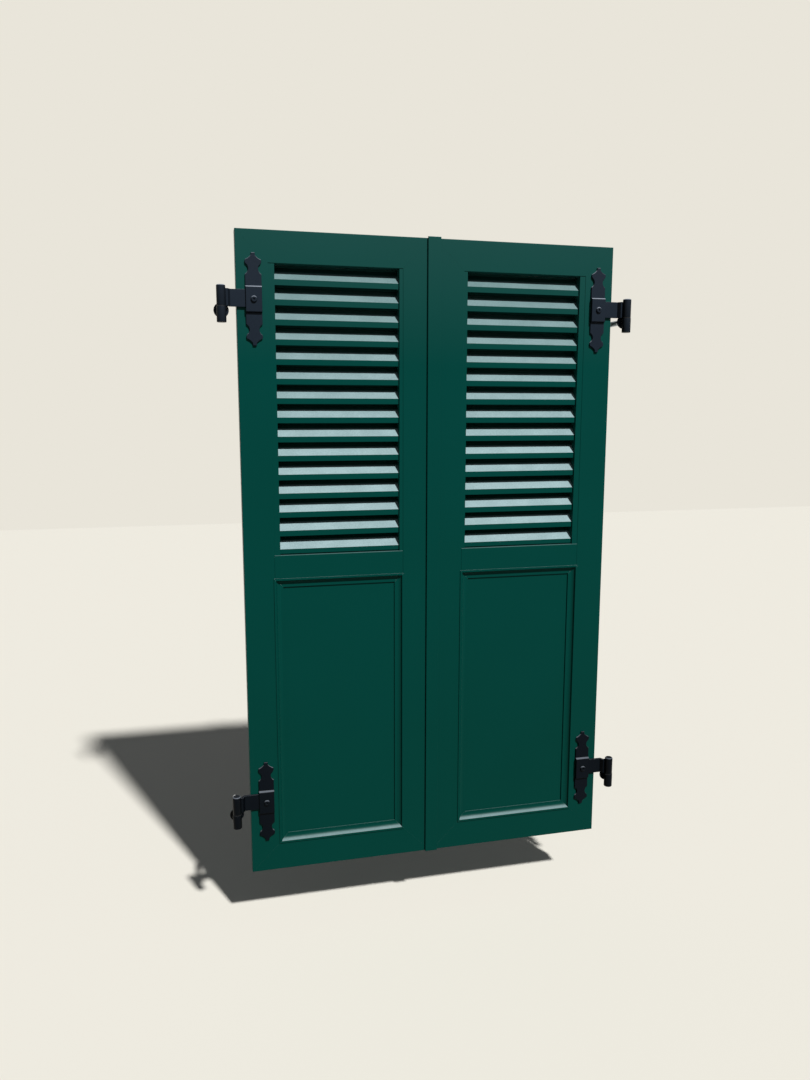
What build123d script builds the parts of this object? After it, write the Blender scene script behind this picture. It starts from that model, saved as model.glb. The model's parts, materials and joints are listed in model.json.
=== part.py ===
from build123d import *
from math import atan2, cos, radians, tan
import os

# A pair of louvred shutters in hollow powder-coated aluminium bars, hung on four wall pintles.
# X runs across the pair, Y into the wall and Z up. The origin is the centre of the four wall
# studs, on the wall's face, which is also the front face of the closed leaves.
# All sizes are millimetres.

# The pair of leaves
pair_width = 818
leaf_height = 1366
leaf_depth = 34
meeting_gap = 6
bar_width = 64
bar_wall = 2
bar_edge_radius = 1.2
joint_seam = 0.1
mid_rail_top = 709
mid_rail_height = 52

# Fixed slats and the channels that carry their ends
slat_count = 15
slat_slope = 47.5
slat_nose = 11.5
slat_wall = 1.3
slat_nose_radius = 0.9
slat_lip = 5
slat_front_recess = 5
slat_back_recess = 4
gap_over_slats = 2.5
gap_under_slats = 0.6
hinge_carrier_width = 12.5
meeting_carrier_width = 7.4
carrier_recess = 1
carrier_wall = 2
slat_reach = 4
slot_clearance = 0.2

# Lower panel, its coved front moulding and its back bead
panel_thickness = 8
panel_recess = 9
panel_clearance = 0.5
moulding_lap = 2.5
moulding_proud = 2
moulding_lip = 4.5
cove_width = 10
cove_depth = 8
moulding_fillet = 5.3
bead_width = 14
bead_wall = 1.5
fit_gap = 0.3

# Corner cleats and the dowelled connectors of the mid rail
cleat_arm = 70
cleat_thickness = 16
cleat_clearance = 0.2
connector_length = 40
dowel_radius = 5
dowel_reach = 14
dowel_clearance = 0.1

# Hinges
upper_hinge_drop = 134
lower_hinge_rise = 165.5
axis_outset = 30
axis_stand_off = 15
strap_height = 34
strap_thickness = 5
crank_outset = 14.6
crank_step = 8
crank_run = 5
strap_hidden_margin = 1
knuckle_radius = 9
knuckle_rise = 6
knuckle_cap = 5
knuckle_chamfer = 1.6
cover_width = 32.2
cover_inset = 34.5
cover_drop = 1.8
cover_thickness = 4
cover_bridge_margin = 6.9
cover_bridge_run = 2.2
cover_shoulder = 49
cover_neck_rise = 11.4
cover_neck_half = 10
cover_notch_rise = 6.4
cover_notch_half = 12.8
cover_lobe_rise = 7.1
cover_lobe_half = 16.4
cover_ear_rise = 3.1
cover_ear_half = 15.4
cover_cusp_rise = 4
cover_cusp_half = 8.3
cover_nib_root_rise = 4
cover_nib_root_half = 4.3
cover_nib_rise = 5.4
cover_nib_half = 3.7

# Hinge screws and the threaded plates behind them
screw_radius = 4
screw_head_radius = 6.4
screw_head_height = 3.6
screw_head_round = 2.5
screw_socket = 4.5
screw_socket_depth = 2.2
screw_clearance = 0.2
thread_clearance = 0.05
screw_tip = 3
nut_plate_width = 30
nut_plate_height = 50
nut_plate_thickness = 5

# Wall pintles
pin_radius = 6
pin_clearance = 0.06
pin_height = 33
pin_chamfer = 1.5
pintle_height = 31
pintle_radius = 9.5
pintle_chamfer = 0.8
washer_thickness = 1
washer_gap = 0.05
washer_set_in = 0.5
stud_radius = 6
neck_radius = 6.2
stud_drop = 6.5
stud_length = 85
rosette_radius = 15
rosette_thickness = 3
rosette_round = 1.5
rosette_clearance = 0.1

# Cover strip of the right leaf and its gasket
strip_width = 28
strip_thickness = 4
strip_foot = 1
strip_over_top = 2.5
strip_edge_radius = 0.8
gasket_width = 7
gasket_inset = 2
gasket_gap = 0.3

# Espagnolette on the back of the right leaf
rod_radius = 7
rod_stand_off = 13
rod_end_inset = 2
rod_clearance = 0.08
hook_reach = 26
hook_thickness = 6
hook_width = 12
hook_inset = 8
hook_tip = 6
guide_height = 22
guide_hub_width = 26
guide_base_width = 56
guide_base = 3
guide_end_distance = 110
guide_play = 0.05
lever_boss_radius = 12
lever_boss_height = 26
lever_length = 130
lever_thickness = 6
lever_root_width = 18
lever_tip_width = 13
lever_knob_radius = 9
lever_pin_radius = 2.5
lever_pin_clearance = 0.05
lever_pin_head = 1.5
clip_distance = 92
clip_width = 16
clip_wall = 2
clip_clearance = 0.3
clip_ear = 12
rivet_radius = 2.4
rivet_clearance = 0.1
rivet_head_radius = 4.5
rivet_head_height = 1.8
rivet_tail = 3
rivet_spacing = 40

# Places that follow from the sizes above
middle = (Align.CENTER, Align.CENTER, Align.CENTER)
standing = (Align.CENTER, Align.CENTER, Align.MIN)

leaf_x_low = -pair_width / 2
leaf_x_high = -meeting_gap / 2
inner_x_low = leaf_x_low + bar_width
inner_x_high = leaf_x_high - bar_width

knuckle_height = strap_height + knuckle_rise
joint_drop = strap_height / 2 + washer_gap + washer_thickness
stud_below_hinge = joint_drop + stud_drop
hinge_spacing = leaf_height - upper_hinge_drop - lower_hinge_rise
upper_hinge_z = hinge_spacing / 2 + stud_below_hinge
lower_hinge_z = -hinge_spacing / 2 + stud_below_hinge
hinge_heights = {"upper": upper_hinge_z, "lower": lower_hinge_z}

leaf_bottom = lower_hinge_z - lower_hinge_rise
leaf_top = leaf_bottom + leaf_height
mid_rail_z_high = leaf_bottom + mid_rail_top
mid_rail_z_low = mid_rail_z_high - mid_rail_height
mid_rail_z = (mid_rail_z_low + mid_rail_z_high) / 2
panel_z_low = leaf_bottom + bar_width
louvre_z_high = leaf_top - bar_width

axis_x = leaf_x_low - axis_outset
axis_y = -axis_stand_off
cover_x = leaf_x_low + cover_inset
screw_heights = [hinge_z - cover_drop for hinge_z in hinge_heights.values()]

slat_front = slat_front_recess
slat_back = leaf_depth - slat_back_recess
slat_gradient = tan(radians(slat_slope))
slat_rise = (slat_back - slat_front) * slat_gradient
lowest_slat_z = mid_rail_z_high + gap_under_slats
highest_slat_z = louvre_z_high - gap_over_slats - slat_rise - slat_nose
slat_pitch = (highest_slat_z - lowest_slat_z) / (slat_count - 1)
slat_heights = [lowest_slat_z + slat_pitch * step for step in range(slat_count)]

rod_x = -inner_x_high - bar_width / 2
rod_y = leaf_depth + rod_stand_off
clip_x = rod_x + clip_distance
clip_slope = (lever_root_width - lever_tip_width) / lever_length
clip_half_gap = (lever_root_width - clip_slope * (clip_distance - clip_width / 2)) / 2 + clip_clearance
lever_guide_z_high = mid_rail_z - lever_boss_height / 2 - guide_play
guide_heights = [
    leaf_bottom + guide_end_distance,
    lever_guide_z_high - guide_height / 2,
    leaf_top - guide_end_distance,
]


def back_plane(x, y, z):
    """A plane that looks towards the room, with its first axis along X and its second down."""
    return Plane(origin=(x, y, z), x_dir=(1, 0, 0), z_dir=(0, 1, 0))


def front_plane(x, y, z):
    """A plane that looks out of the wall, with its first axis along X and its second up."""
    return Plane(origin=(x, y, z), x_dir=(1, 0, 0), z_dir=(0, -1, 0))


def side_plane(x, y, z):
    """A plane that looks along X, with its first axis into the wall and its second up."""
    return Plane(origin=(x, y, z), x_dir=(0, 1, 0), z_dir=(1, 0, 0))


def ring_sides(x_low, x_high, z_low, z_high):
    """The four sides of an upright rectangle: each plane's first axis points into it."""
    width, height = x_high - x_low, z_high - z_low
    return {
        "left": (Plane(origin=(x_low, 0, z_low), x_dir=(1, 0, 0), z_dir=(0, 0, 1)), height),
        "bottom": (Plane(origin=(x_high, 0, z_low), x_dir=(0, 0, 1), z_dir=(-1, 0, 0)), width),
        "right": (Plane(origin=(x_high, 0, z_high), x_dir=(-1, 0, 0), z_dir=(0, 0, -1)), height),
        "top": (Plane(origin=(x_low, 0, z_high), x_dir=(0, 0, -1), z_dir=(1, 0, 0)), width),
    }


def mitred_bar(section, plane, length, lap=0):
    """Extrudes a section along one side of a ring and cuts both of its ends to a mitre."""
    half_seam = plane.z_dir * (joint_seam / 2)
    with BuildPart() as bar:
        with BuildSketch(plane.offset(-lap)):
            add(section)
        extrude(amount=length + 2 * lap)
        start = plane.origin + half_seam
        end = plane.origin + plane.z_dir * length - half_seam
        split(bisect_by=Plane(origin=start, z_dir=plane.z_dir - plane.x_dir), keep=Keep.TOP)
        split(bisect_by=Plane(origin=end, z_dir=-plane.z_dir - plane.x_dir), keep=Keep.TOP)
    return bar.part


def hollow_bar_section(width):
    """Rectangular tube section, with its first axis across the face and its second inwards."""
    with BuildSketch() as section:
        with Locations((width / 2, leaf_depth / 2)):
            RectangleRounded(width, leaf_depth, bar_edge_radius)
            Rectangle(width - 2 * bar_wall, leaf_depth - 2 * bar_wall, mode=Mode.SUBTRACT)
    return section.sketch


def moulding_section():
    """Flat lip that laps the frame, a cove, and a flat fillet that steps down to the panel."""
    lip_end = moulding_lip - moulding_lap
    cove_end = lip_end + cove_width
    cove_floor = cove_depth - moulding_proud
    inner_edge = cove_end + moulding_fillet
    with BuildSketch() as section:
        with BuildLine():
            EllipticalCenterArc(
                center=(cove_end, -moulding_proud), x_radius=cove_width, y_radius=cove_depth,
                start_angle=90, arc_size=90,
            )
            Polyline(
                (cove_end, cove_floor), (inner_edge, cove_floor), (inner_edge, panel_recess),
                (fit_gap, panel_recess), (fit_gap, 0), (-moulding_lap, 0),
                (-moulding_lap, -moulding_proud), (lip_end, -moulding_proud),
            )
        make_face()
    return section.sketch


def bead_section():
    """Hollow glazing bead between the panel's back and the back of the leaf."""
    bead_depth = leaf_depth - panel_recess - panel_thickness
    with BuildSketch() as section:
        with Locations((fit_gap + bead_width / 2, leaf_depth - bead_depth / 2)):
            Rectangle(bead_width, bead_depth)
            Rectangle(bead_width - 2 * bead_wall, bead_depth - 2 * bead_wall, mode=Mode.SUBTRACT)
    return section.sketch


def slat_outline(grow):
    """Corners of a slat's section, from its lower nose edge, grown by a distance all round."""
    upright = grow / cos(radians(slat_slope))
    front, back = slat_front - grow, slat_back + grow
    low_front = -grow * slat_gradient - upright
    low_back = slat_rise + grow * slat_gradient - upright
    thickness = slat_nose + 2 * upright
    return [
        (front, low_front), (back, low_back), (back, low_back + thickness),
        (front, low_front + thickness),
    ]


def slat_faces(grow):
    """One section at the height of every slat, with an upright lip on its back edge.

    The lips close the view through the louvre, and the top one stops short of the top rail.
    """
    with Locations(*[(0, height) for height in slat_heights]):
        Polygon(*slat_outline(grow), align=None)
    for height in slat_heights:
        back_edge_z = height + slat_rise + slat_nose
        lip_low = back_edge_z - slat_wall * slat_gradient
        lip_high = min(back_edge_z + slat_lip, louvre_z_high - joint_seam)
        with Locations((slat_back - slat_wall / 2, (lip_low + lip_high) / 2)):
            Rectangle(slat_wall + 2 * grow, lip_high - lip_low + 2 * grow)


# Leaf frame: the pieces of the left leaf, which the right leaf mirrors
frame_sides = ring_sides(leaf_x_low, leaf_x_high, leaf_bottom, leaf_top)
panel_sides = ring_sides(inner_x_low, inner_x_high, panel_z_low, mid_rail_z_low)


frame_bars = {
    side: mitred_bar(hollow_bar_section(bar_width), *place) for side, place in frame_sides.items()
}
moulding_bars = [
    mitred_bar(moulding_section(), *place, moulding_lap) for place in panel_sides.values()
]
bead_bars = [mitred_bar(bead_section(), *place) for place in panel_sides.values()]

dowel_z = mid_rail_z
dowel_y = leaf_depth / 2

with BuildPart() as hinge_stile:
    add(frame_bars["left"])
    for screw_z in screw_heights:
        with Locations(back_plane(cover_x, 0, screw_z)):
            Cylinder(screw_radius + screw_clearance, 4 * bar_wall, mode=Mode.SUBTRACT)
    with Locations(side_plane(inner_x_low, dowel_y, dowel_z)):
        Cylinder(dowel_radius + dowel_clearance, 4 * bar_wall, mode=Mode.SUBTRACT)

with BuildPart() as meeting_stile:
    add(frame_bars["right"])
    with Locations(side_plane(inner_x_high, dowel_y, dowel_z)):
        Cylinder(dowel_radius + dowel_clearance, 4 * bar_wall, mode=Mode.SUBTRACT)

with BuildPart() as top_rail:
    add(frame_bars["top"])

with BuildPart() as bottom_rail:
    add(frame_bars["bottom"])

mid_rail_start = inner_x_low + joint_seam
mid_rail_length = inner_x_high - inner_x_low - 2 * joint_seam
with BuildPart() as mid_rail:
    with BuildSketch(Plane(origin=(mid_rail_start, 0, mid_rail_z_high), x_dir=(0, 0, -1), z_dir=(1, 0, 0))):
        add(hollow_bar_section(mid_rail_height))
    extrude(amount=mid_rail_length)

connector_height = mid_rail_height - 2 * bar_wall - 2 * cleat_clearance
connector_depth = leaf_depth - 2 * bar_wall - 2 * cleat_clearance
with BuildPart() as rail_connectors:
    for end_x, inward in ((inner_x_low, 1), (inner_x_high, -1)):
        block_x = end_x + inward * (joint_seam + connector_length / 2)
        dowel_length = dowel_reach + joint_seam + connector_length / 2
        dowel_x = block_x - inward * dowel_length / 2
        with Locations((block_x, dowel_y, dowel_z)):
            Box(connector_length, connector_depth, connector_height, align=middle)
        with Locations(side_plane(dowel_x, dowel_y, dowel_z)):
            Cylinder(dowel_radius, dowel_length)

cleat_set_in = bar_wall + cleat_clearance
cleat_depth = leaf_depth - 2 * cleat_set_in
with BuildPart() as corner_cleats:
    for corner_x, way_x in ((leaf_x_low, 1), (leaf_x_high, -1)):
        for corner_z, way_z in ((leaf_bottom, 1), (leaf_top, -1)):
            with BuildSketch(front_plane(corner_x + way_x * cleat_set_in, cleat_set_in,
                                         corner_z + way_z * cleat_set_in)):
                Polygon(
                    (0, 0), (way_x * cleat_arm, 0), (way_x * cleat_arm, way_z * cleat_thickness),
                    (way_x * cleat_thickness, way_z * cleat_thickness),
                    (way_x * cleat_thickness, way_z * cleat_arm), (0, way_z * cleat_arm),
                    align=None,
                )
            extrude(amount=-cleat_depth)

# Louvre: two channels with slots, and the slats that run through them
carrier_depth = leaf_depth - 2 * carrier_recess
carrier_height = louvre_z_high - mid_rail_z_high - 2 * joint_seam
carrier_z = (louvre_z_high + mid_rail_z_high) / 2


def slat_carrier(stile_x, inward, width):
    """Channel with its web towards the slats, slotted where each slat passes through it."""
    web_x = stile_x + inward * width
    cavity = width - carrier_wall
    with BuildPart() as carrier:
        with Locations((stile_x + inward * width / 2, leaf_depth / 2, carrier_z)):
            Box(width, carrier_depth, carrier_height, align=middle)
        with Locations((stile_x + inward * cavity / 2, leaf_depth / 2, carrier_z)):
            Box(cavity, carrier_depth - 2 * carrier_wall, carrier_height, align=middle,
                mode=Mode.SUBTRACT)
        with BuildSketch(Plane.YZ.offset(web_x - inward * carrier_wall / 2)):
            slat_faces(slot_clearance)
        extrude(amount=carrier_wall, both=True, mode=Mode.SUBTRACT)
    return carrier.part


hinge_side_slat_carrier = slat_carrier(inner_x_low, 1, hinge_carrier_width)
meeting_side_slat_carrier = slat_carrier(inner_x_high, -1, meeting_carrier_width)

slat_start = inner_x_low + hinge_carrier_width - carrier_wall - slat_reach
slat_end = inner_x_high - meeting_carrier_width + carrier_wall + slat_reach
with BuildPart() as slats:
    with BuildSketch(Plane.YZ.offset(slat_start)) as slat_sections:
        slat_faces(0)
        nose_corners = slat_sections.vertices().group_by(Axis.Y)[0]
        fillet(nose_corners, slat_nose_radius)
        with Locations(*[(0, height) for height in slat_heights]):
            Polygon(*slat_outline(-slat_wall), align=None, mode=Mode.SUBTRACT)
    extrude(amount=slat_end - slat_start)

# Lower panel with its moulding in front and its bead behind
with BuildPart() as infill_panel:
    with Locations(((inner_x_low + inner_x_high) / 2, panel_recess + panel_thickness / 2,
                    (panel_z_low + mid_rail_z_low) / 2)):
        Box(inner_x_high - inner_x_low - 2 * panel_clearance, panel_thickness,
            mid_rail_z_low - panel_z_low - 2 * panel_clearance, align=middle)

with BuildPart() as panel_moulding:
    add(moulding_bars)

with BuildPart() as panel_bead:
    add(bead_bars)

# Hinges
crank_x = leaf_x_low - crank_outset
strap_inner_x = cover_x + cover_width / 2 - strap_hidden_margin


def bend_shift(thickness, step, run):
    """How far a bend lies further along one face of a plate than along its other face."""
    return thickness * tan(atan2(step, run) / 2)


def hinge_strap(hinge_z):
    """Flat arm on the leaf, cranked outwards and rolled into a knuckle with a blind bore."""
    front_crank_x = crank_x + bend_shift(strap_thickness, crank_step, crank_run)
    knuckle_z = hinge_z - strap_height / 2
    with BuildPart() as strap:
        with Locations((axis_x, axis_y, knuckle_z)):
            Cylinder(knuckle_radius, knuckle_height, align=standing)
        chamfer(strap.faces().sort_by(Axis.Z)[-1].edges(), knuckle_chamfer)
        with BuildSketch(Plane.XY.offset(knuckle_z)):
            Polygon(
                (strap_inner_x, 0), (crank_x, 0), (crank_x - crank_run, -crank_step),
                (axis_x, -crank_step), (axis_x, -crank_step - strap_thickness),
                (front_crank_x - crank_run, -crank_step - strap_thickness),
                (front_crank_x, -strap_thickness), (strap_inner_x, -strap_thickness),
                align=None,
            )
        extrude(amount=strap_height)
        with Locations((axis_x, axis_y, knuckle_z)):
            Cylinder(pin_radius + pin_clearance, knuckle_height - knuckle_cap, align=standing,
                     mode=Mode.SUBTRACT)
        with Locations(back_plane(cover_x, 0, hinge_z - cover_drop)):
            Cylinder(screw_radius + screw_clearance, 4 * strap_thickness, mode=Mode.SUBTRACT)
    return strap.part


def cover_plate(plate_z):
    """Ornamental plate, flat on the leaf at both ends and bridging the strap in its middle."""
    foot_z = strap_height / 2 + cover_bridge_margin
    top_z = foot_z - cover_bridge_run
    shift = bend_shift(cover_thickness, strap_thickness, cover_bridge_run)
    neck_z = cover_shoulder + cover_neck_rise
    notch_z = neck_z + cover_notch_rise
    lobe_z = notch_z + cover_lobe_rise
    ear_z = lobe_z + cover_ear_rise
    cusp_z = ear_z + cover_cusp_rise
    nib_root_z = cusp_z + cover_nib_root_rise
    tip_z = nib_root_z + cover_nib_rise
    half = cover_width / 2
    widest_half = max(half, cover_lobe_half)
    with BuildPart() as cover:
        with BuildSketch(side_plane(cover_x - widest_half, 0, plate_z)):
            with BuildLine():
                Polyline((-strap_thickness, 0), (-strap_thickness, top_z), (0, foot_z), (0, tip_z),
                         (-cover_thickness, tip_z), (-cover_thickness, foot_z + shift),
                         (-cover_thickness - strap_thickness, top_z + shift),
                         (-cover_thickness - strap_thickness, 0))
                mirror(about=Plane.XZ)
            make_face()
        extrude(amount=2 * widest_half)
        with BuildSketch(front_plane(cover_x, 0, plate_z)):
            with BuildLine():
                Line((half, 0), (half, cover_shoulder))
                ThreePointArc((half, cover_shoulder), (cover_neck_half, neck_z),
                              (cover_notch_half, notch_z))
                ThreePointArc((cover_notch_half, notch_z), (cover_lobe_half, lobe_z),
                              (cover_ear_half, ear_z))
                ThreePointArc((cover_ear_half, ear_z), (cover_cusp_half, cusp_z),
                              (cover_nib_root_half, nib_root_z))
                Polyline((cover_nib_root_half, nib_root_z), (cover_nib_half, tip_z), (0, tip_z))
                mirror(about=Plane.YZ)
                mirror(about=Plane.XZ)
            make_face()
        extrude(amount=2 * (cover_thickness + strap_thickness), both=True, mode=Mode.INTERSECT)
        with Locations(back_plane(cover_x, 0, plate_z)):
            Cylinder(screw_radius + screw_clearance, 4 * (strap_thickness + cover_thickness),
                     mode=Mode.SUBTRACT)
    return cover.part


straps = {}
covers = {}
for place, hinge_z in hinge_heights.items():
    straps[place] = hinge_strap(hinge_z)
    covers[place] = cover_plate(hinge_z - cover_drop)

screw_seat_y = -strap_thickness - cover_thickness
nut_back_y = bar_wall + nut_plate_thickness
with BuildPart() as hinge_screws:
    for screw_z in screw_heights:
        seat = front_plane(cover_x, screw_seat_y, screw_z)
        with Locations(seat):
            Cylinder(screw_head_radius, screw_head_height, align=standing)
    fillet(hinge_screws.faces().group_by(Axis.Y)[0].edges(), screw_head_round)
    for screw_z in screw_heights:
        socket = front_plane(cover_x, screw_seat_y - screw_head_height, screw_z)
        with BuildSketch(socket):
            RegularPolygon(screw_socket / 2, 6, major_radius=False)
        extrude(amount=-screw_socket_depth, mode=Mode.SUBTRACT)
        with Locations(back_plane(cover_x, screw_seat_y, screw_z)):
            Cylinder(screw_radius, nut_back_y + screw_tip - screw_seat_y, align=standing)

with BuildPart() as nut_plates:
    for screw_z in screw_heights:
        with Locations((cover_x, bar_wall + nut_plate_thickness / 2, screw_z)):
            Box(nut_plate_width, nut_plate_thickness, nut_plate_height, align=middle)
        with Locations(back_plane(cover_x, bar_wall, screw_z)):
            Cylinder(screw_radius + thread_clearance, 4 * nut_plate_thickness, mode=Mode.SUBTRACT)


# Wall pintles, with their rosettes and washers
def wall_pintle(hinge_z):
    """Upright barrel with the hinge pin on top, and a neck that ends in the wall stud."""
    joint_z = hinge_z - joint_drop
    with BuildPart() as pintle:
        with Locations((axis_x, axis_y, joint_z)):
            Cylinder(pintle_radius, pintle_height, align=(Align.CENTER, Align.CENTER, Align.MAX))
        chamfer(pintle.faces().sort_by(Axis.Z)[0].edges(), pintle_chamfer)
        with Locations((axis_x, axis_y, joint_z)):
            Cylinder(pin_radius, pin_height, align=standing)
        chamfer(pintle.faces().sort_by(Axis.Z)[-1].edges(), pin_chamfer)
        with Locations(back_plane(axis_x, axis_y, joint_z - stud_drop)):
            Cylinder(neck_radius, axis_stand_off, align=standing)
        with Locations(back_plane(axis_x, 0, joint_z - stud_drop)):
            Cylinder(stud_radius, stud_length, align=standing)
    return pintle.part


pintles = {place: wall_pintle(hinge_z) for place, hinge_z in hinge_heights.items()}

with BuildPart() as left_rosettes:
    for hinge_z in hinge_heights.values():
        with Locations(front_plane(axis_x, 0, hinge_z - stud_below_hinge)):
            Cylinder(rosette_radius, rosette_thickness, align=standing)
    fillet(
        left_rosettes.faces().group_by(Axis.Y)[0].edges(),
        rosette_round,
    )
    for hinge_z in hinge_heights.values():
        with Locations(front_plane(axis_x, 0, hinge_z - stud_below_hinge)):
            Cylinder(neck_radius + rosette_clearance, 4 * rosette_thickness, mode=Mode.SUBTRACT)

with BuildPart() as left_washers:
    for hinge_z in hinge_heights.values():
        with Locations((axis_x, axis_y, hinge_z - joint_drop)):
            Cylinder(knuckle_radius - washer_set_in, washer_thickness, align=standing)
            Cylinder(pin_radius + pin_clearance, washer_thickness, align=standing,
                     mode=Mode.SUBTRACT)

with BuildPart() as rosettes:
    add(left_rosettes.part)
    mirror(left_rosettes.part, about=Plane.YZ)

with BuildPart() as hinge_washers:
    add(left_washers.part)
    mirror(left_washers.part, about=Plane.YZ)

# Cover strip: flat on the right leaf and clear of the left one, with a gasket behind its lap
strip_front = -strip_foot - strip_thickness
with BuildPart() as cover_strip:
    with BuildSketch(Plane.XY.offset(leaf_bottom)):
        with Locations((0, strip_front)):
            Rectangle(strip_width, strip_thickness, align=(Align.CENTER, Align.MIN))
        with Locations((-leaf_x_high, -strip_foot)):
            Rectangle(strip_width / 2 + leaf_x_high, strip_foot, align=(Align.MIN, Align.MIN))
    extrude(amount=leaf_height + strip_over_top)
    front_edges = cover_strip.faces().sort_by(Axis.Y)[0].edges()
    fillet(front_edges, strip_edge_radius)

with BuildPart() as strip_gasket:
    with BuildSketch(Plane.XY.offset(leaf_bottom)):
        with Locations((gasket_inset - strip_width / 2, -strip_foot)):
            Rectangle(gasket_width, strip_foot - gasket_gap, align=(Align.MIN, Align.MIN))
    extrude(amount=leaf_height)

# Espagnolette: a rod with a hook at each end and a lever, which turns in three guides
hook_heights = [leaf_bottom + hook_inset + hook_thickness / 2, leaf_top - hook_inset - hook_thickness / 2]
rod_length = leaf_height - 2 * rod_end_inset
with BuildPart() as espagnolette_rod:
    with Locations((rod_x, rod_y, leaf_bottom + rod_end_inset)):
        Cylinder(rod_radius, rod_length, align=standing)
    for hook_z in hook_heights:
        with BuildSketch(Plane.XY.offset(hook_z - hook_thickness / 2)):
            with Locations((rod_x, rod_y)):
                Rectangle(hook_reach, hook_width, align=(Align.MIN, Align.CENTER))
            with Locations((rod_x + hook_reach - hook_tip, rod_y)):
                Rectangle(hook_tip, hook_width / 2 + hook_tip / 2, align=(Align.MIN, Align.MAX))
        extrude(amount=hook_thickness)
    with Locations(back_plane(rod_x, rod_y, mid_rail_z)):
        Cylinder(lever_pin_radius + lever_pin_clearance, 4 * rod_radius, mode=Mode.SUBTRACT)

lever_tip_x = rod_x + lever_length
with BuildPart() as lever_handle:
    with BuildSketch(front_plane(0, rod_y - lever_thickness / 2, mid_rail_z)):
        Polygon(
            (rod_x, -lever_root_width / 2), (lever_tip_x, -lever_tip_width / 2),
            (lever_tip_x, lever_tip_width / 2), (rod_x, lever_root_width / 2), align=None,
        )
        with Locations((lever_tip_x, 0)):
            Circle(lever_knob_radius)
    extrude(amount=-lever_thickness)
    with Locations((rod_x, rod_y, mid_rail_z)):
        Cylinder(lever_boss_radius, lever_boss_height)
        Cylinder(rod_radius + lever_pin_clearance, lever_boss_height, mode=Mode.SUBTRACT)
    with Locations(back_plane(rod_x, rod_y, mid_rail_z)):
        Cylinder(lever_pin_radius + lever_pin_clearance, 4 * lever_boss_radius, mode=Mode.SUBTRACT)

pin_length = 2 * lever_boss_radius
with BuildPart() as lever_pin:
    with Locations(back_plane(rod_x, rod_y, mid_rail_z)):
        Cylinder(lever_pin_radius, pin_length)
    with Locations(back_plane(rod_x, rod_y + pin_length / 2, mid_rail_z)):
        Cylinder(lever_pin_radius + lever_pin_head, lever_pin_head, align=standing)

with BuildPart() as rod_guides:
    for guide_z in guide_heights:
        with BuildSketch(Plane.XY.offset(guide_z - guide_height / 2)):
            with Locations((rod_x, leaf_depth)):
                Rectangle(guide_base_width, guide_base, align=(Align.CENTER, Align.MIN))
                Rectangle(guide_hub_width, rod_stand_off, align=(Align.CENTER, Align.MIN))
            with Locations((rod_x, rod_y)):
                Circle(guide_hub_width / 2)
                Circle(rod_radius + rod_clearance, mode=Mode.SUBTRACT)
        extrude(amount=guide_height)
        for way in (-1, 1):
            with Locations(back_plane(rod_x + way * rivet_spacing / 2, leaf_depth, guide_z)):
                Cylinder(rivet_radius + rivet_clearance, 4 * guide_base, mode=Mode.SUBTRACT)

clip_depth = rod_stand_off + lever_thickness / 2
clip_back = leaf_depth + clip_wall
clip_ear_z = clip_half_gap + clip_wall + clip_ear / 2
with BuildPart() as lever_clip:
    with Locations((clip_x, leaf_depth + clip_wall / 2, mid_rail_z)):
        Box(clip_width, clip_wall, 2 * (clip_half_gap + clip_wall + clip_ear), align=middle)
    for way in (-1, 1):
        with Locations((clip_x, leaf_depth + clip_depth / 2,
                        mid_rail_z + way * (clip_half_gap + clip_wall / 2))):
            Box(clip_width, clip_depth, clip_wall, align=middle)
        with Locations(back_plane(clip_x, leaf_depth, mid_rail_z + way * clip_ear_z)):
            Cylinder(rivet_radius + rivet_clearance, 4 * clip_wall, mode=Mode.SUBTRACT)

guide_rivets = [
    (rod_x + way * rivet_spacing / 2, leaf_depth + guide_base, guide_z)
    for guide_z in guide_heights for way in (-1, 1)
]
clip_rivets = [(clip_x, clip_back, mid_rail_z + way * clip_ear_z) for way in (-1, 1)]
with BuildPart() as rivets:
    for rivet_x, head_y, rivet_z in guide_rivets + clip_rivets:
        with Locations(back_plane(rivet_x, head_y, rivet_z)):
            Cylinder(rivet_head_radius, rivet_head_height, align=standing)
        with Locations(front_plane(rivet_x, head_y, rivet_z)):
            Cylinder(rivet_radius, head_y - leaf_depth + bar_wall + rivet_tail, align=standing)

# The mirrored leaf, with the rivet holes that only it has
leaf_pieces = {
    "hinge_stile": hinge_stile.part,
    "meeting_stile": meeting_stile.part,
    "top_rail": top_rail.part,
    "mid_rail": mid_rail.part,
    "bottom_rail": bottom_rail.part,
    "rail_connectors": rail_connectors.part,
    "corner_cleats": corner_cleats.part,
    "hinge_side_slat_carrier": hinge_side_slat_carrier,
    "meeting_side_slat_carrier": meeting_side_slat_carrier,
    "slats": slats.part,
    "infill_panel": infill_panel.part,
    "panel_moulding": panel_moulding.part,
    "panel_bead": panel_bead.part,
    "upper_hinge_strap": straps["upper"],
    "lower_hinge_strap": straps["lower"],
    "upper_cover_plate": covers["upper"],
    "lower_cover_plate": covers["lower"],
    "hinge_screws": hinge_screws.part,
    "nut_plates": nut_plates.part,
    "upper_pintle": pintles["upper"],
    "lower_pintle": pintles["lower"],
}
riveted_pieces = {"meeting_stile": guide_rivets, "mid_rail": clip_rivets}

pieces = {}
for name, piece in leaf_pieces.items():
    pieces["left_" + name] = piece
    with BuildPart() as mirrored:
        mirror(piece, about=Plane.YZ)
        for rivet_x, head_y, rivet_z in riveted_pieces.get(name, []):
            with Locations(back_plane(rivet_x, leaf_depth, rivet_z)):
                Cylinder(rivet_radius + rivet_clearance, 4 * bar_wall, mode=Mode.SUBTRACT)
    pieces["right_" + name] = mirrored.part

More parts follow.
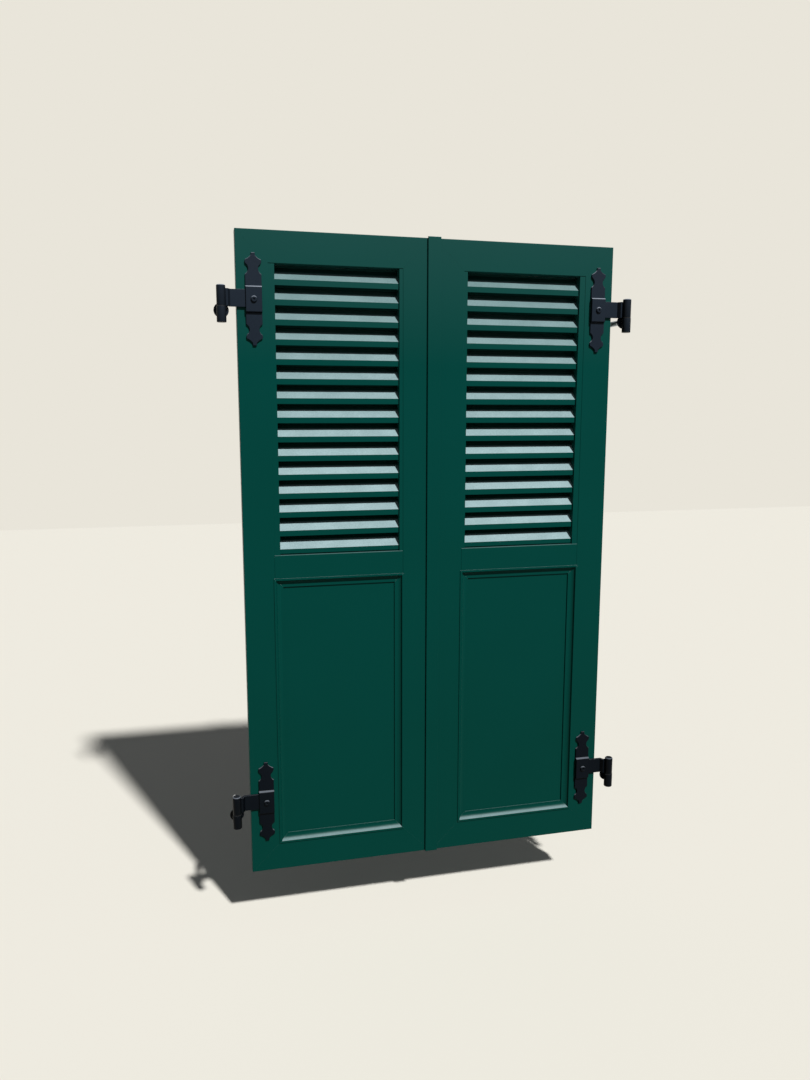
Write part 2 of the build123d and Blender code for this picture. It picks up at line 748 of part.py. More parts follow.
pieces.update({
    "rosettes": rosettes.part,
    "hinge_washers": hinge_washers.part,
    "cover_strip": cover_strip.part,
    "strip_gasket": strip_gasket.part,
    "espagnolette_rod": espagnolette_rod.part,
    "lever_handle": lever_handle.part,
    "lever_pin": lever_pin.part,
    "rod_guides": rod_guides.part,
    "lever_clip": lever_clip.part,
    "rivets": rivets.part,
})

# Write each piece to a file of its own
os.makedirs("parts", exist_ok=True)
for name, piece in pieces.items():
    piece.label = name
    export_step(piece, f"parts/{name}.step")

print("studs at x", axis_x, "and z", upper_hinge_z - stud_below_hinge)
print("leaf from z", leaf_bottom, "to", leaf_top)
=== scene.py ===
import json
import math

import bmesh
import bpy
from mathutils import Matrix, Vector


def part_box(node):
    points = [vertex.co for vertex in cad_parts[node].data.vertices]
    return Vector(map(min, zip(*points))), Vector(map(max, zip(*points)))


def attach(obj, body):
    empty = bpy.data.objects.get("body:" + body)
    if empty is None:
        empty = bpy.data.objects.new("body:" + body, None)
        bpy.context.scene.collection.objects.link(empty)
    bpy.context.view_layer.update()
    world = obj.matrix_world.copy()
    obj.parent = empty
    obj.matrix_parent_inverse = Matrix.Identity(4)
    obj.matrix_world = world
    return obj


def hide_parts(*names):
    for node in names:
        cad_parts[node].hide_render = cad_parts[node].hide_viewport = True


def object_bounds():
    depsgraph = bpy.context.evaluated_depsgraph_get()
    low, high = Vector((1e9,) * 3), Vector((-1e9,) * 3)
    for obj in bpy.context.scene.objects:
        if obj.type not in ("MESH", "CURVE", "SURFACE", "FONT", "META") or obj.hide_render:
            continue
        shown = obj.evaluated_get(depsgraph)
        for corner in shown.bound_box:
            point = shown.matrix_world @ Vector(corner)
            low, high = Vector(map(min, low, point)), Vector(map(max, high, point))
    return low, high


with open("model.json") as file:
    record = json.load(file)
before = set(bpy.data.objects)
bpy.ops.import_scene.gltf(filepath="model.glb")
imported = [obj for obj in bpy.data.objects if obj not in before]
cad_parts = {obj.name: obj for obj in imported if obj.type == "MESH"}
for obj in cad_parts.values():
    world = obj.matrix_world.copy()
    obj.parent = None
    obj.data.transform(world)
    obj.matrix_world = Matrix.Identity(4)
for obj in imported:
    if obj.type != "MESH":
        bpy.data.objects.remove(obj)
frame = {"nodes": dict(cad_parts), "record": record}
cad_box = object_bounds()
nodes = frame["nodes"]
scene = bpy.context.scene

MM = 0.001

# The photograph's camera: its focal length is in pixels of the 1080 pixel high picture
IMAGE_HEIGHT_PX = 1080
FOCAL_PX = 831.7
SENSOR_MM = 36
CAMERA_AT = (-0.4904, -1.7401, 0.3343)
CAMERA_DOWN_DEG = 8.76
CAMERA_RIGHT_DEG = 13.81
CAMERA_ROLL_DEG = -0.06

# Light: a soft high key from the front right, and a weak sky
KEY_TRAVEL = (-0.40, 1.0, -1.2)
KEY_STRENGTH = 4.3
KEY_SOFT_DEG = 3
AMBIENT_STRENGTH = 0.1
BACKDROP_STRENGTH = 1

# Floor
FLOOR_DROP = 0.14
FLOOR_SIZE = 14
FLOOR_ROUGHNESS = 0.95
FLOOR_SHEEN = 0.1

# Finishes, as sRGB hex values
GREEN_COAT = "#003A32"
# The paler green is reached near the top of the leaves as a painted sky reflection, and also tints
# random clouds
GREEN_COAT_PALER = "#00433D"
# Pale film colours, laid on as a painted highlight of the key light
PAINTED_HIGHLIGHT = "#C4DDE2"
COOL_PAINTED_HIGHLIGHT = "#C2CCDA"
BLACK_COAT = "#050A10"
# The paler black is reached near the top of the leaves as a painted sky reflection, and also tints
# random clouds
BLACK_COAT_PALER = "#1F2833"
MILL_ALUMINIUM = "#BCBFC1"
MILL_ALUMINIUM_DULL = "#B0B3B5"
ZINC_PLATE = "#B8BDC3"
ZINC_PLATE_DULL = "#A9AEB4"
SEAL_RUBBER = "#0D0D0D"
SEAL_RUBBER_GREY = "#191919"
BLACK_NYLON = "#0B0B0C"
BLACK_NYLON_GREY = "#151516"
PALE_FLOOR = "#E4E0D5"
DULL_FLOOR = "#6E6B65"
PALE_BACKDROP = "#E9E5DA"
SOFT_SKY = "#EEF6FF"

# The pintles' threaded tails: depths run along +Y from the frame's origin
PINTLE_HEIGHT_MM = 31
STUD_DROP_MM = 6.5
STUD_LENGTH_MM = 85
THREAD_FROM_MM = 7.9
THREAD_PITCH_MM = 1.75
THREAD_SIDES = 24
THREAD_ROOT_MM = 5.1
THREAD_CREST_MM = 6
THREAD_WELD_MM = 0.01

# Small round edges: their width, and the least turn between two faces that makes an edge of them
MOULDING_ROUND_MM = 0.9
RAIL_ROUND_MM = 0.25
PLATE_ROUND_MM = 1
STRAP_ROUND_MM = 0.6
PINTLE_ROUND_MM = 0.5
SQUARE_EDGE_DEG = 60
PLATE_EDGE_DEG = 20
FORGED_EDGE_DEG = 35
ROUND_SEGMENTS = 2
WELD_MM = 0.001
FLAT_DEG = 1
DEPTHWISE_EDGE = 0.8
REARWARD_FACE = 0.5

# A noise texture's value lies mostly within the first pair, and nearly always within the second
NOISE_MIDDLE = (0.35, 0.65)
NOISE_WIDE = (0.3, 0.7)

# Paler coats: upwards as a painted sky reflection, and in clouds of faded paint
GLARE_FROM_MM = -520
GLARE_FULL_MM = 600
GLARE_MOST = 0.85
CLOUD_MM = 320
CLOUD_MOST = 0.15

# Painted light by height: a painted sky reflection grows upwards, the painted highlight goes from
# one strength to another, and near the foot it follows how far a face looks up
GLARE_FILM_FROM_MM = 430
GLARE_FILM_FULL_MM = 690
FILM_FULL_MM = 250
FILM_THIN_MM = 600
FOOT_FROM_MM = -400
FOOT_TO_MM = -200
GREEN_FILM = {"glare_film_most": 0.018, "film_low": 0.54, "film_high": 0.31}
BLACK_FILM = {"glare_film_most": 0.01, "film_low": 0.36, "film_high": 0.46}

# Painted shadow by depth: the painted highlight ends behind the slats' noses, in the shade of the
# slat above, and is weaker on the front arrises
FILM_DEPTH_MM = 17.5
FILM_DEPTH_BLUR_MM = 4
ARRIS_DEPTH_MM = 2
ARRIS_SPARE_MM = 0.2
ARRIS_SHARE = 0.3

# Painted highlight by the upward part of a surface's normal, with random specks and patches
TILTED = (0.15, 0.8)
FOOT_TILT = (0.1, 1)
FOOT_TILT_SHARES = (0.2, 0.62)
FLAT_TOPS = (0.985, 0.998)
FLAT_TOP_SHARE = 0.14
SPECK_MM = 2.2
SPECK_SHARES = (0.8, 1.16)
PATCH_MM = 45
PATCH_SHARES = (0.93, 1.06)

# Sheen of the coats, which ends where a face is level
COAT_SHEEN = 0.05
LEVEL = (0.9, 0.99)

# Green coat: roughness that rises with the pale film of painted highlight, and its orange peel
GREEN_FILM_SHARES = (0.05, 0.5)
GREEN_ROUGHNESS = (0.36, 0.6)
PEEL_MM = 0.9
PEEL_STRENGTH = 0.12
PEEL_DEPTH_MM = 0.05

# Black coat: grit, painted shade on faces turned from the front by the normal's Y, and a darker
# painted shade on the barrels beyond a distance in X
GRIT_MM = 0.7
GRIT_SHARES = (0.75, 1.25)
GRIT_STRENGTH = 0.35
GRIT_DEPTH_MM = 0.08
FORWARD = (-0.4, -0.95)
SIDE_SHADE_SHARES = (0.3, 1)
BARREL_FROM_MM = 429
BARREL_BLUR_MM = 2
BARREL_SHADE_SHARE = 0.68
BLACK_ROUGHNESS = 0.34

# Bare metals, rubber and nylon
DIE_LINE_MM = 0.8
DIE_LINE_STRETCH = (0.03, 1, 1)
ALUMINIUM_ROUGHNESS = (0.3, 0.46)
SPANGLE_MM = 6
ZINC_ROUGHNESS = (0.26, 0.4)
RUBBER_ROUGHNESS = 0.75
RUBBER_GRAIN_MM = 0.5
NYLON_ROUGHNESS = 0.5
NYLON_GRAIN_MM = 0.4
GRAIN_STRENGTH = 0.2
GRAIN_DEPTH_MM = 0.05


def linear(hex_colour):
    """Turns an sRGB hex value to Blender's linear colour."""
    channels = [int(hex_colour[i:i + 2], 16) / 255 for i in (1, 3, 5)]
    return tuple(
        c / 12.92 if c <= 0.04045 else ((c + 0.055) / 1.055) ** 2.4 for c in channels
    ) + (1.0,)


def per(size_mm):
    """The texture scale whose features are about size_mm across, on coordinates in metres."""
    return 1 / (size_mm * MM)


def limits(source, target=(0, 1)):
    """The limits that carry one pair of values over to another, by their sockets' names."""
    return dict(zip(("From Min", "From Max", "To Min", "To Max"), (*source, *target)))


def add(tree, kind, inputs=None, **settings):
    """Adds a node: an input is given a value, or the socket that feeds it."""
    node = tree.nodes.new(kind)
    for name, value in settings.items():
        setattr(node, name, value)
    for socket, value in (inputs or {}).items():
        if isinstance(value, bpy.types.NodeSocket):
            tree.links.new(value, node.inputs[socket])
        else:
            node.inputs[socket].default_value = value
    return node


def new_material(name):
    """An empty node material with its output and a Principled shader joined to it."""
    material = bpy.data.materials.new(name)
    material.use_nodes = True
    tree = material.node_tree
    tree.nodes.clear()
    shader = add(tree, "ShaderNodeBsdfPrincipled")
    add(tree, "ShaderNodeOutputMaterial", {"Surface": shader.outputs["BSDF"]})
    return material, tree, shader


def upward_part(tree):
    """How much a surface looks up: the Z of its normal."""
    facing = add(tree, "ShaderNodeNewGeometry").outputs["Normal"]
    return add(tree, "ShaderNodeSeparateXYZ", {"Vector": facing}).outputs["Z"]


def paler_upwards(tree, place, low_hex, high_hex):
    """A coat's colour from foot to top of the leaves: paler upwards as a painted sky reflection,
    and paler in clouds where sun bleaches it.
    """
    height = add(tree, "ShaderNodeSeparateXYZ", {"Vector": place}).outputs["Z"]
    # Painted sky reflection: the coat grows paler with height
    by_height = add(tree, "ShaderNodeMapRange", {
        "Value": height, **limits((GLARE_FROM_MM * MM, GLARE_FULL_MM * MM), (0, GLARE_MOST)),
    }).outputs["Result"]
    clouds = add(tree, "ShaderNodeTexNoise", {
        "Vector": place, "Scale": per(CLOUD_MM), "Detail": 2,
    })
    cloudy = add(tree, "ShaderNodeMapRange", {
        "Value": clouds.outputs["Fac"], **limits(NOISE_MIDDLE, (0, CLOUD_MOST)),
    }).outputs["Result"]
    share = add(tree, "ShaderNodeMath", {0: by_height, 1: cloudy}, operation="ADD").outputs[0]
    return add(tree, "ShaderNodeMix", {
        0: share, 6: linear(low_hex), 7: linear(high_hex),
    }, data_type="RGBA").outputs[2]


def painted_light_film(tree, place, glare_film_most, film_low, film_high):
    """How much pale film lies on a coat, all of it painted light: a painted sky reflection that
    grows with height, and a painted highlight of the key light. The painted highlight lies on what
    looks up, film_low of it on the lower slats and film_high near the top of the leaves, and only
    as deep as light reaches between the slats, which paints the shadow of the slat above. It is
    weak on level ledges, and above the foot it is weaker on the frame's front arrises; near the
    foot it is weaker the less a face looks up, strongest where a cove flattens out.
    """
    upward = upward_part(tree)
    parts = add(tree, "ShaderNodeSeparateXYZ", {"Vector": place})
    height, depth = parts.outputs["Z"], parts.outputs["Y"]
    # Painted sky reflection: a pale film that grows towards the top of the leaves
    glare_film = add(tree, "ShaderNodeMapRange", {
        "Value": height, **limits((GLARE_FILM_FROM_MM * MM, GLARE_FILM_FULL_MM * MM), (0, glare_film_most)),
    }).outputs["Result"]
    # The painted highlight's strength, from film_low low down to film_high near the top
    by_height = add(tree, "ShaderNodeMapRange", {
        "Value": height, **limits((FILM_FULL_MM * MM, FILM_THIN_MM * MM), (film_low, film_high)),
    }).outputs["Result"]
    # Painted shadow: the highlight fades out behind the slats' noses, in the shade of the slat
    # above
    film_end_mm = FILM_DEPTH_MM + FILM_DEPTH_BLUR_MM
    sunlit_depth = add(tree, "ShaderNodeMapRange", {
        "Value": depth, **limits((FILM_DEPTH_MM * MM, film_end_mm * MM), (1, 0)),
    }).outputs["Result"]
    # Near the foot the painted highlight follows how far a face looks up, strongest where the
    # bottom cove flattens out
    above_foot = add(tree, "ShaderNodeMapRange", {
        "Value": height, **limits((FOOT_FROM_MM * MM, FOOT_TO_MM * MM)),
    }).outputs["Result"]
    foot_share = add(tree, "ShaderNodeMapRange", {
        "Value": upward, **limits(FOOT_TILT, FOOT_TILT_SHARES),
    }).outputs["Result"]
    # The painted highlight is weaker on the frame's front arrises
    arris = add(tree, "ShaderNodeMath", {
        0: depth, 1: ARRIS_DEPTH_MM * MM, 2: (ARRIS_DEPTH_MM + ARRIS_SPARE_MM) * MM,
    }, operation="COMPARE").outputs[0]
    arris_dimmed = add(tree, "ShaderNodeMapRange", {
        "Value": arris, **limits((0, 1), (1, ARRIS_SHARE)),
    }).outputs["Result"]
    foot_and_arris = add(tree, "ShaderNodeMix", {0: above_foot, 2: foot_share, 3: arris_dimmed}).outputs[0]
    # Painted highlight: stronger the more a face looks up
    tilted = add(tree, "ShaderNodeMapRange", {
        "Value": upward, **limits(TILTED),
    }, interpolation_type="SMOOTHSTEP").outputs["Result"]
    # The painted highlight is weak on level tops
    flat_tops_dimmed = add(tree, "ShaderNodeMapRange", {
        "Value": upward, **limits(FLAT_TOPS, (1, FLAT_TOP_SHARE)),
    }).outputs["Result"]
    specks = add(tree, "ShaderNodeTexNoise", {
        "Vector": place, "Scale": per(SPECK_MM), "Detail": 3, "Roughness": 0.7,
    })
    speckled = add(tree, "ShaderNodeMapRange", {
        "Value": specks.outputs["Fac"], **limits(NOISE_WIDE, SPECK_SHARES),
    }).outputs["Result"]
    patches = add(tree, "ShaderNodeTexNoise", {
        "Vector": place, "Scale": per(PATCH_MM), "Detail": 2,
    })
    patchy = add(tree, "ShaderNodeMapRange", {
        "Value": patches.outputs["Fac"], **limits(NOISE_MIDDLE, PATCH_SHARES),
    }).outputs["Result"]
    highlight = by_height
    for share in (sunlit_depth, foot_and_arris, tilted, flat_tops_dimmed, speckled, patchy):
        highlight = add(tree, "ShaderNodeMath", {
            0: highlight, 1: share,
        }, operation="MULTIPLY").outputs[0]
    return add(tree, "ShaderNodeMath", {0: glare_film, 1: highlight}, operation="MAXIMUM").outputs[0]


def sheen(tree, shader):
    """Lets a coat keep a faint sheen, which chalk takes away from its level tops."""
    level = add(tree, "ShaderNodeMapRange", {
        "Value": upward_part(tree), **limits(LEVEL, (COAT_SHEEN, 0)),
    })
    tree.links.new(level.outputs["Result"], shader.inputs["Specular IOR Level"])


def green_powder_coat():
    """Satin polyester powder on aluminium: orange peel breaks up its reflections."""
    material, tree, shader = new_material("green_powder_coat")
    place = add(tree, "ShaderNodeTexCoord").outputs["Object"]
    # Paler upwards: a painted sky reflection
    colour = paler_upwards(tree, place, GREEN_COAT, GREEN_COAT_PALER)
    # A pale film over the coat: a painted sky reflection at the top and a painted highlight on
    # faces that look up
    film = painted_light_film(tree, place, **GREEN_FILM)
    with_highlight = add(tree, "ShaderNodeMix", {
        0: film, 6: colour, 7: linear(PAINTED_HIGHLIGHT),
    }, data_type="RGBA")
    tree.links.new(with_highlight.outputs[2], shader.inputs["Base Color"])
    dulled = add(tree, "ShaderNodeMapRange", {
        "Value": film, **limits(GREEN_FILM_SHARES, GREEN_ROUGHNESS),
    })
    tree.links.new(dulled.outputs["Result"], shader.inputs["Roughness"])
    sheen(tree, shader)
    peel = add(tree, "ShaderNodeTexNoise", {"Vector": place, "Scale": per(PEEL_MM), "Detail": 1})
    bump = add(tree, "ShaderNodeBump", {
        "Height": peel.outputs["Fac"], "Strength": PEEL_STRENGTH, "Distance": PEEL_DEPTH_MM * MM,
    })
    tree.links.new(bump.outputs["Normal"], shader.inputs["Normal"])
    return material


def black_powder_coat():
    """Fine-textured polyester powder on forged steel: gritty, with a dull broken sheen.

    Faces turned from the front carry painted shade, and the barrels a darker painted shade.
    """
    material, tree, shader = new_material("black_textured_powder_coat")
    coordinates = add(tree, "ShaderNodeTexCoord").outputs
    place = coordinates["Object"]
    grit = add(tree, "ShaderNodeTexNoise", {
        "Vector": place, "Scale": per(GRIT_MM), "Detail": 2, "Roughness": 0.6,
    })
    uneven = add(tree, "ShaderNodeMapRange", {
        "Value": grit.outputs["Fac"], **limits(NOISE_WIDE, GRIT_SHARES),
    }).outputs["Result"]
    forward = add(tree, "ShaderNodeSeparateXYZ", {"Vector": coordinates["Normal"]}).outputs["Y"]
    # Painted shade: faces turned from the front are darker, so the flat fronts look lighter
    side_shade = add(tree, "ShaderNodeMapRange", {
        "Value": forward, **limits(FORWARD, SIDE_SHADE_SHARES),
    }).outputs["Result"]
    sideways = add(tree, "ShaderNodeSeparateXYZ", {"Vector": place}).outputs["X"]
    outwards = add(tree, "ShaderNodeMath", {0: sideways}, operation="ABSOLUTE").outputs[0]
    barrel_start_mm = BARREL_FROM_MM - BARREL_BLUR_MM
    # Painted shade: the rounded barrels beyond a distance in X are darker
    barrel_shade = add(tree, "ShaderNodeMapRange", {
        "Value": outwards,
        **limits((barrel_start_mm * MM, BARREL_FROM_MM * MM), (1, BARREL_SHADE_SHARE)),
    }).outputs["Result"]
    shade = uneven
    for share in (side_shade, barrel_shade):
        shade = add(tree, "ShaderNodeMath", {0: shade, 1: share}, operation="MULTIPLY").outputs[0]
    # The coat's colour, paler upwards as a painted sky reflection, times the grit and the painted
    # shade
    colour = add(tree, "ShaderNodeMix", {
        0: 1, 6: paler_upwards(tree, place, BLACK_COAT, BLACK_COAT_PALER), 7: shade,
    }, data_type="RGBA", blend_type="MULTIPLY").outputs[2]
    # A pale film over the coat: a painted sky reflection at the top and a painted highlight on
    # up-facing slopes
    film = painted_light_film(tree, place, **BLACK_FILM)
    with_highlight = add(tree, "ShaderNodeMix", {
        0: film, 6: colour, 7: linear(COOL_PAINTED_HIGHLIGHT),
    }, data_type="RGBA")
    tree.links.new(with_highlight.outputs[2], shader.inputs["Base Color"])
    sheen(tree, shader)
    shader.inputs["Roughness"].default_value = BLACK_ROUGHNESS
    bump = add(tree, "ShaderNodeBump", {
        "Height": grit.outputs["Fac"], "Strength": GRIT_STRENGTH, "Distance": GRIT_DEPTH_MM * MM,
    })
    tree.links.new(bump.outputs["Normal"], shader.inputs["Normal"])
    return material


def mill_aluminium():
    """Bare extruded aluminium: die lines along its length stretch the highlights."""
    material, tree, shader = new_material("mill_aluminium")
    place = add(tree, "ShaderNodeTexCoord").outputs["Object"]
    drawn = add(tree, "ShaderNodeMapping", {
        "Vector": place, "Scale": DIE_LINE_STRETCH,
    }).outputs["Vector"]
    lines = add(tree, "ShaderNodeTexNoise", {
        "Vector": drawn, "Scale": per(DIE_LINE_MM), "Detail": 2,
    })
    colour = add(tree, "ShaderNodeMix", {
        0: lines.outputs["Fac"], 6: linear(MILL_ALUMINIUM), 7: linear(MILL_ALUMINIUM_DULL),
    }, data_type="RGBA")
    tree.links.new(colour.outputs[2], shader.inputs["Base Color"])
    shader.inputs["Metallic"].default_value = 1
    drag = add(tree, "ShaderNodeMapRange", {
        "Value": lines.outputs["Fac"], **limits(NOISE_WIDE, ALUMINIUM_ROUGHNESS),
    })
    tree.links.new(drag.outputs["Result"], shader.inputs["Roughness"])
    return material


def zinc_plated_steel():
    """Bright zinc plate: a cool metal with a faint cloudy spangle."""
    material, tree, shader = new_material("zinc_plated_steel")
    place = add(tree, "ShaderNodeTexCoord").outputs["Object"]
    spangle = add(tree, "ShaderNodeTexNoise", {
        "Vector": place, "Scale": per(SPANGLE_MM), "Detail": 2,
    })
    colour = add(tree, "ShaderNodeMix", {
        0: spangle.outputs["Fac"], 6: linear(ZINC_PLATE), 7: linear(ZINC_PLATE_DULL),
    }, data_type="RGBA")
    tree.links.new(colour.outputs[2], shader.inputs["Base Color"])
    shader.inputs["Metallic"].default_value = 1
    cloudy = add(tree, "ShaderNodeMapRange", {
        "Value": spangle.outputs["Fac"], **limits(NOISE_WIDE, ZINC_ROUGHNESS),
    })
    tree.links.new(cloudy.outputs["Result"], shader.inputs["Roughness"])
    return material


def soft_black(name, first_hex, last_hex, roughness, grain_mm):
    """Rubber or nylon: dull black whose fine moulded grain keeps it from looking flat."""
    material, tree, shader = new_material(name)
    place = add(tree, "ShaderNodeTexCoord").outputs["Object"]
    grain = add(tree, "ShaderNodeTexNoise", {
        "Vector": place, "Scale": per(grain_mm), "Detail": 2,
    })
    colour = add(tree, "ShaderNodeMix", {
        0: grain.outputs["Fac"], 6: linear(first_hex), 7: linear(last_hex),
    }, data_type="RGBA")
    tree.links.new(colour.outputs[2], shader.inputs["Base Color"])
    shader.inputs["Roughness"].default_value = roughness
    bump = add(tree, "ShaderNodeBump", {
        "Height": grain.outputs["Fac"], "Strength": GRAIN_STRENGTH,
        "Distance": GRAIN_DEPTH_MM * MM,
    })
    tree.links.new(bump.outputs["Normal"], shader.inputs["Normal"])
    return material


MATERIALS = {
    "green_powder_coat": green_powder_coat(),
    "black_powder_coat": black_powder_coat(),
    "mill_aluminium": mill_aluminium(),
    "zinc_plated_steel": zinc_plated_steel(),
    "seal_rubber": soft_black(
        "epdm_rubber", SEAL_RUBBER, SEAL_RUBBER_GREY, RUBBER_ROUGHNESS, RUBBER_GRAIN_MM
    ),
    "black_nylon": soft_black(
        "moulded_nylon", BLACK_NYLON, BLACK_NYLON_GREY, NYLON_ROUGHNESS, NYLON_GRAIN_MM
    ),
}
NODE_SLOTS = {row["node"]: row["material_slot"] for row in frame["record"]["subparts"]}


def dress(piece, material):
    """Gives a piece one material in place of any that it came with."""
    piece.data.materials.clear()
    piece.data.materials.append(material)


for node_name, node in nodes.items():
    dress(node, MATERIALS[NODE_SLOTS[node_name]])


def finish_piece(name, bm):
    """Makes a linked object of a bmesh, with its place in its mesh."""
    mesh = bpy.data.meshes.new(name)
    bm.to_mesh(mesh)
    bm.free()
    piece = bpy.data.objects.new(name, mesh)
    scene.collection.objects.link(piece)
    return piece


def bevelled(node_name, body, width_mm, least_deg, end_mm=None, front_only=False):
    """Replaces a node by its own shape with small round edges, as a coat leaves on cut plate.

    Where end_mm is given, the shape stops at that depth. With front_only, the outline keeps its
    sharp corners and only its arris towards the front is rounded.
    """
    bm = bmesh.new()
    bm.from_mesh(nodes[node_name].data)
    bmesh.ops.remove_doubles(bm, verts=bm.verts, dist=WELD_MM * MM)
    bmesh.ops.dissolve_limit(
        bm, angle_limit=math.radians(FLAT_DEG), verts=bm.verts, edges=bm.edges
    )
    if end_mm is not None:
        cut = bmesh.ops.bisect_plane(
            bm, geom=bm.verts[:] + bm.edges[:] + bm.faces[:], plane_co=(0, end_mm * MM, 0),
            plane_no=(0, 1, 0), clear_outer=True,
        )["geom_cut"]
        rim = [part for part in cut if isinstance(part, bmesh.types.BMEdge)]
        bmesh.ops.holes_fill(bm, edges=rim)
    sharp = [edge for edge in bm.edges
             if edge.is_manifold and edge.calc_face_angle() > math.radians(least_deg)]
    if front_only:
        bm.normal_update()
        sharp = [edge for edge in sharp
                 if abs((edge.verts[0].co - edge.verts[1].co).normalized().y) < DEPTHWISE_EDGE
                 and all(face.normal.y < REARWARD_FACE for face in edge.link_faces)]
    bmesh.ops.bevel(bm, geom=sharp, offset=width_mm * MM, offset_type="OFFSET",
                    segments=ROUND_SEGMENTS, profile=0.5, affect="EDGES", clamp_overlap=True,
                    material=-1)
    piece = finish_piece(node_name + "_rounded", bm)
    dress(piece, MATERIALS[NODE_SLOTS[node_name]])
    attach(piece, body)
    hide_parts(node_name)


for side in ("left", "right"):
    leaf = side + "_leaf"
    bevelled(side + "_panel_moulding", leaf, MOULDING_ROUND_MM, SQUARE_EDGE_DEG)
    bevelled(side + "_mid_rail", leaf, RAIL_ROUND_MM, SQUARE_EDGE_DEG)
    for place in ("upper", "lower"):
        bevelled(
            f"{side}_{place}_cover_plate", leaf, PLATE_ROUND_MM, PLATE_EDGE_DEG, front_only=True
        )
        bevelled(f"{side}_{place}_hinge_strap", leaf, STRAP_ROUND_MM, FORGED_EDGE_DEG)


def threaded_stud(name, axis_x, stud_z):
    """The stud's rolled thread, one tooth swept round and along its core."""
    turns = int((STUD_LENGTH_MM - THREAD_FROM_MM) / THREAD_PITCH_MM) - 1
    core_end = THREAD_FROM_MM + (turns + 0.5) * THREAD_PITCH_MM
    axis = Vector((axis_x, 0, stud_z))
    bm = bmesh.new()
    tooth = []
    for radius_mm, along in ((THREAD_ROOT_MM, 0), (THREAD_CREST_MM, 0.5), (THREAD_ROOT_MM, 1)):
        depth_mm = THREAD_FROM_MM + along * THREAD_PITCH_MM
        tooth.append(bm.verts.new(axis + Vector((radius_mm * MM, depth_mm * MM, 0))))
    edges = [bm.edges.new(pair) for pair in zip(tooth, tooth[1:])]
    bmesh.ops.spin(bm, geom=tooth + edges, cent=axis, axis=(0, 1, 0), angle=turns * 2 * math.pi,
                   dvec=(0, THREAD_PITCH_MM * MM / THREAD_SIDES, 0), steps=turns * THREAD_SIDES)
    bmesh.ops.remove_doubles(bm, verts=bm.verts, dist=THREAD_WELD_MM * MM)
    length = (core_end - THREAD_FROM_MM) * MM
    core = Matrix.Translation(axis + Vector((0, THREAD_FROM_MM * MM + length / 2, 0)))
    bmesh.ops.create_cone(
        bm, cap_ends=True, segments=THREAD_SIDES, radius1=THREAD_ROOT_MM * MM,
        radius2=THREAD_ROOT_MM * MM, depth=length,
        matrix=core @ Matrix.Rotation(math.pi / 2, 4, "X"),
    )
    bmesh.ops.recalc_face_normals(bm, faces=bm.faces)
    return finish_piece(name, bm)


for side in ("left", "right"):
    for place in ("upper", "lower"):
        pintle = f"{side}_{place}_pintle"
        bevelled(pintle, "wall_pintles", PINTLE_ROUND_MM, FORGED_EDGE_DEG, THREAD_FROM_MM)
        low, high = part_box(pintle)
        thread_z = low[2] + (PINTLE_HEIGHT_MM - STUD_DROP_MM) * MM
        centre_x = (low[0] + high[0]) / 2
        thread = threaded_stud(pintle + "_thread", centre_x, thread_z)
        dress(thread, MATERIALS["zinc_plated_steel"])
        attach(thread, "wall_pintles")


def seen_directly(tree):
    """One for rays of the camera, of reflections and through glass, nought for bounced light."""
    path = add(tree, "ShaderNodeLightPath").outputs
    seen = path["Is Camera Ray"]
    for ray in ("Is Glossy Ray", "Is Transmission Ray"):
        seen = add(tree, "ShaderNodeMath", {0: seen, 1: path[ray]}, operation="MAXIMUM").outputs[0]
    return seen


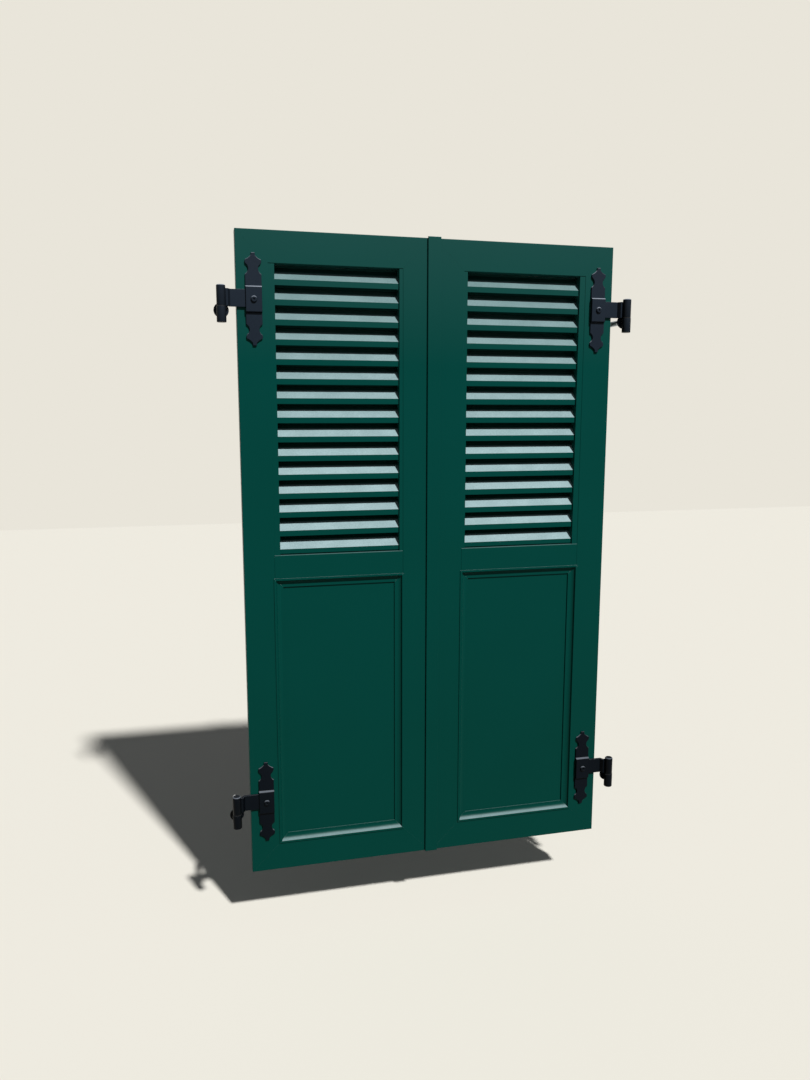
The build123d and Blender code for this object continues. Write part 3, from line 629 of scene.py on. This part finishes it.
def pale_floor():
    """Matt floor, pale to the camera and in reflections, that bounces little light upwards."""
    material, tree, shader = new_material("pale_floor")
    colour = add(tree, "ShaderNodeMix", {
        0: seen_directly(tree), 6: linear(DULL_FLOOR), 7: linear(PALE_FLOOR),
    }, data_type="RGBA")
    tree.links.new(colour.outputs[2], shader.inputs["Base Color"])
    shader.inputs["Roughness"].default_value = FLOOR_ROUGHNESS
    shader.inputs["Specular IOR Level"].default_value = FLOOR_SHEEN
    return material


def make_floor():
    """A wide floor below the leaves, which takes their shadow."""
    low = cad_box[0][2] - FLOOR_DROP
    bm = bmesh.new()
    bmesh.ops.create_grid(bm, x_segments=1, y_segments=1, size=FLOOR_SIZE / 2)
    bmesh.ops.translate(bm, vec=(0, 0, low), verts=bm.verts)
    piece = finish_piece("floor", bm)
    dress(piece, pale_floor())


def make_camera():
    """The photograph's viewpoint, fitted to the corners of both leaves."""
    data = bpy.data.cameras.new("camera")
    data.sensor_fit = "VERTICAL"
    data.sensor_height = SENSOR_MM
    data.lens = FOCAL_PX / IMAGE_HEIGHT_PX * SENSOR_MM
    piece = bpy.data.objects.new("camera", data)
    piece.location = CAMERA_AT
    piece.rotation_euler = (
        math.radians(90 - CAMERA_DOWN_DEG), math.radians(CAMERA_ROLL_DEG),
        -math.radians(CAMERA_RIGHT_DEG),
    )
    scene.collection.objects.link(piece)
    scene.camera = piece


def make_light():
    """The key light, and a world that is pale to the camera but gives off little light."""
    data = bpy.data.lights.new("key", "SUN")
    data.energy = KEY_STRENGTH
    data.angle = math.radians(KEY_SOFT_DEG)
    piece = bpy.data.objects.new("key", data)
    piece.rotation_euler = Vector(KEY_TRAVEL).to_track_quat("-Z", "Y").to_euler()
    scene.collection.objects.link(piece)
    world = bpy.data.worlds.new("studio")
    world.use_nodes = True
    scene.world = world
    tree = world.node_tree
    tree.nodes.clear()
    soft = add(tree, "ShaderNodeBackground", {
        "Color": linear(SOFT_SKY), "Strength": AMBIENT_STRENGTH,
    })
    pale = add(tree, "ShaderNodeBackground", {
        "Color": linear(PALE_BACKDROP), "Strength": BACKDROP_STRENGTH,
    })
    choice = add(tree, "ShaderNodeMixShader", {
        0: seen_directly(tree), 1: soft.outputs["Background"], 2: pale.outputs["Background"],
    })
    add(tree, "ShaderNodeOutputWorld", {"Surface": choice.outputs["Shader"]})


make_floor()
make_camera()
make_light()
scene.view_settings.view_transform = "Standard"
